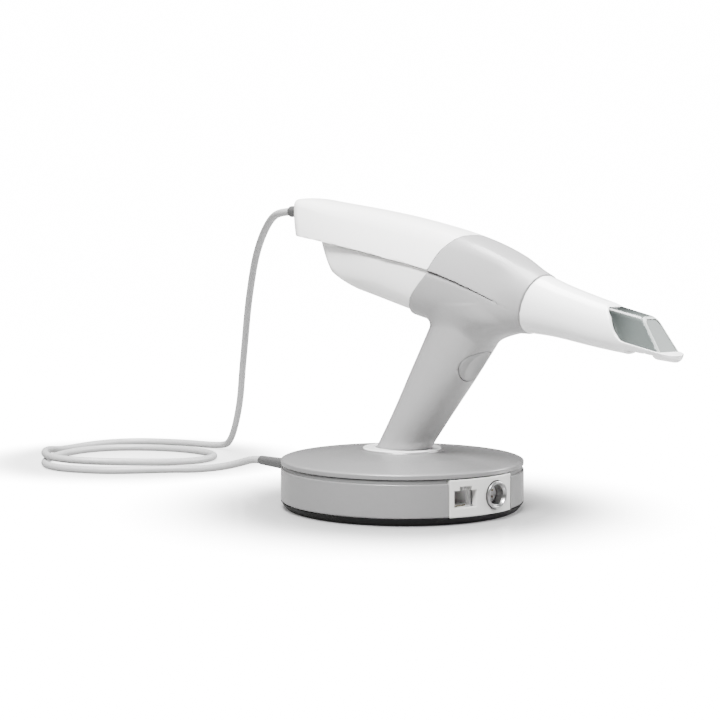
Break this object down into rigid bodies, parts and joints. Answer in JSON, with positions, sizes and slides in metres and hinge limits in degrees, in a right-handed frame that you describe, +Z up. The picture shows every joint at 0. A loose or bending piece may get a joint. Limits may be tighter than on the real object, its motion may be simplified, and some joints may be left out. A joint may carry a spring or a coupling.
{
  "type": "intraoral camera",
  "caption": "Pistol-grip intraoral camera with a mirror tip, standing in a round desk base with two ports, joined to it by a coiled cord.",
  "frame": {"origin": "centre of the base's underside, on the desk", "axes": "+X towards the tip, +Y to the handpiece's left, +Z up"},
  "size_m": [0.4653, 0.1325, 0.1538],
  "materials": {
    "foot_rubber": "matt",
    "base_grey": "satin",
    "groove_grey": "satin",
    "panel_white": "satin",
    "collar_white": "satin gloss",
    "plate_black": "matt",
    "weight_steel": "plain",
    "screw_steel": "bright",
    "jack_grey": "matt",
    "contact_gold": "bright",
    "socket_chrome": "bright",
    "board_green": "satin",
    "chip_black": "matt",
    "post_brass": "satin",
    "boot_grey": "matt",
    "cord_grey": "satin",
    "shell_white": "satin gloss",
    "shell_grey": "satin",
    "button_grey": "satin",
    "nose_steel": "satin",
    "optic_glass": "clear",
    "seal_rubber": "matt",
    "frame_aluminium": "satin",
    "coil_copper": "satin",
    "magnet_steel": "bright",
    "sensor_black": "glossy",
    "led_board": "satin",
    "tip_white": "gloss",
    "insert_grey": "gloss",
    "tip_mirror": "mirror"
  },
  "bodies": {
    "base": {"foot_pad": "foot_rubber", "base_wall": "base_grey", "trim_band": "groove_grey", "base_lid": "base_grey", "port_panel": "panel_white", "bottom_plate": "plate_black", "ballast_weight": "weight_steel", "base_screws": "screw_steel", "network_jack": "jack_grey", "jack_contacts": "contact_gold", "socket_shell": "socket_chrome", "socket_insulator": "jack_grey", "socket_pins": "contact_gold", "port_board": "board_green", "hub_board": "board_green", "board_posts": "post_brass", "socket_collar": "collar_white", "socket_cup": "collar_white", "cable_boot": "boot_grey", "cord_drop": "cord_grey", "cord_lead": "cord_grey", "cord_coil": "cord_grey"},
    "handpiece": {"rear_upper_cover": "shell_white", "rear_lower_cover": "shell_white", "front_housing": "shell_grey", "handle_cap": "plate_black", "trigger_switch": "plate_black", "switch_board": "board_green", "nose_tube": "nose_steel", "nose_window": "optic_glass", "nose_seal": "seal_rubber", "objective_lens": "optic_glass", "relay_lens": "optic_glass", "optics_frame": "frame_aluminium", "guide_rods": "screw_steel", "voice_coil_magnets": "magnet_steel", "beam_splitter": "optic_glass", "image_sensor": "sensor_black", "sensor_board": "board_green", "light_engine": "led_board", "light_lens": "optic_glass", "main_board": "board_green", "heat_sink": "frame_aluminium", "main_board_chips": "chip_black", "cord_gland": "boot_grey"},
    "focus": {"focus_carriage": "frame_aluminium", "focus_lens": "optic_glass", "voice_coil": "coil_copper"},
    "trigger": {"trigger_button": "button_grey"},
    "tip": {"tip_sleeve": "tip_white", "tip_insert": "insert_grey", "tip_mirror": "tip_mirror"}
  },
  "joints": [
    {"name": "handpiece_lift", "type": "slide", "parent": "base", "child": "handpiece", "axis": [0.6088, 0, 0.7933], "range_m": [0, 0.04]},
    {"name": "focus_travel", "type": "slide", "parent": "handpiece", "child": "focus", "axis": [0.9781, 0, -0.2079], "range_m": [-0.004, 0.004]},
    {"name": "trigger_press", "type": "slide", "parent": "handpiece", "child": "trigger", "axis": [-0.7685, 0, 0.6398], "range_m": [0, 0.0008], "stiffness_N_per_m": 2000},
    {"name": "tip_pull", "type": "slide", "parent": "handpiece", "child": "tip", "axis": [0.9781, 0, -0.2079], "range_m": [0, 0.045]}
  ]
}
